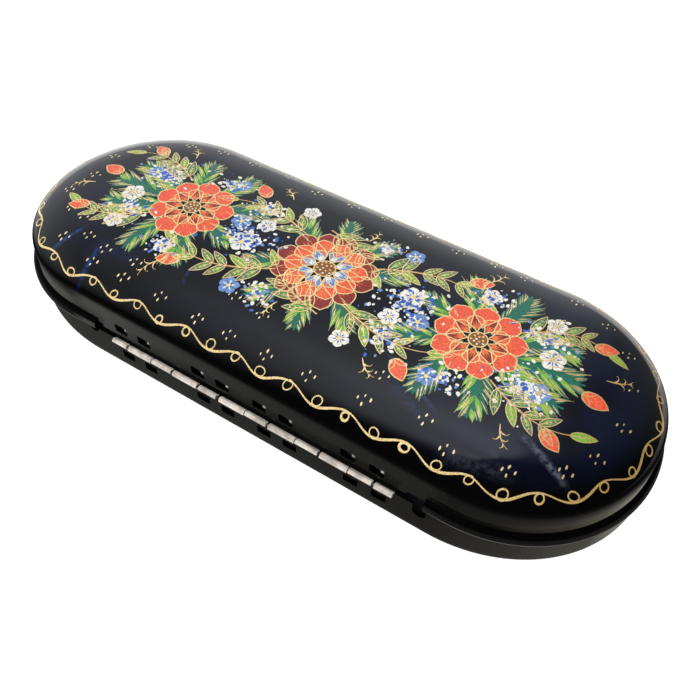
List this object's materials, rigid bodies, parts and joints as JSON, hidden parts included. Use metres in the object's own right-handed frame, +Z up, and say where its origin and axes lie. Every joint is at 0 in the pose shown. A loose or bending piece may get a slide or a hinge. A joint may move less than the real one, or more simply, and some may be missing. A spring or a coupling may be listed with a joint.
{
  "type": "hinged eyeglass case",
  "caption": "Long round-ended pressed steel eyeglass case with a domed lid, a rolled piano hinge along one side and a flocked tray in each half",
  "frame": {"origin": "middle of the closed case's bounding box, on the flat underside", "axes": "+X along the length, +Y toward the hinge side, +Z up toward the domed lid"},
  "size_m": [0.16, 0.0644, 0.0311],
  "materials": {
    "black_lacquer": "gloss black lacquer on pressed steel",
    "flock": "short black flock on a moulded tray",
    "nickel_steel": "nickel-plated rolled steel strip",
    "pin_steel": "drawn steel wire",
    "spring_steel": "bright spring wire"
  },
  "bodies": {
    "base": {"base_shell": "black_lacquer", "base_tray": "flock", "hinge_leaf_base": "nickel_steel", "hinge_pin": "pin_steel"},
    "lid": {"lid_shell": "black_lacquer", "lid_tray": "flock", "hinge_leaf_lid": "nickel_steel", "hinge_spring": "spring_steel"}
  },
  "joints": [
    {"name": "lid_hinge", "type": "hinge", "parent": "base", "child": "lid", "pos_m": [0, 0.0316, 0.0154], "axis": [-1, 0, 0], "range_deg": [0, 105]}
  ]
}
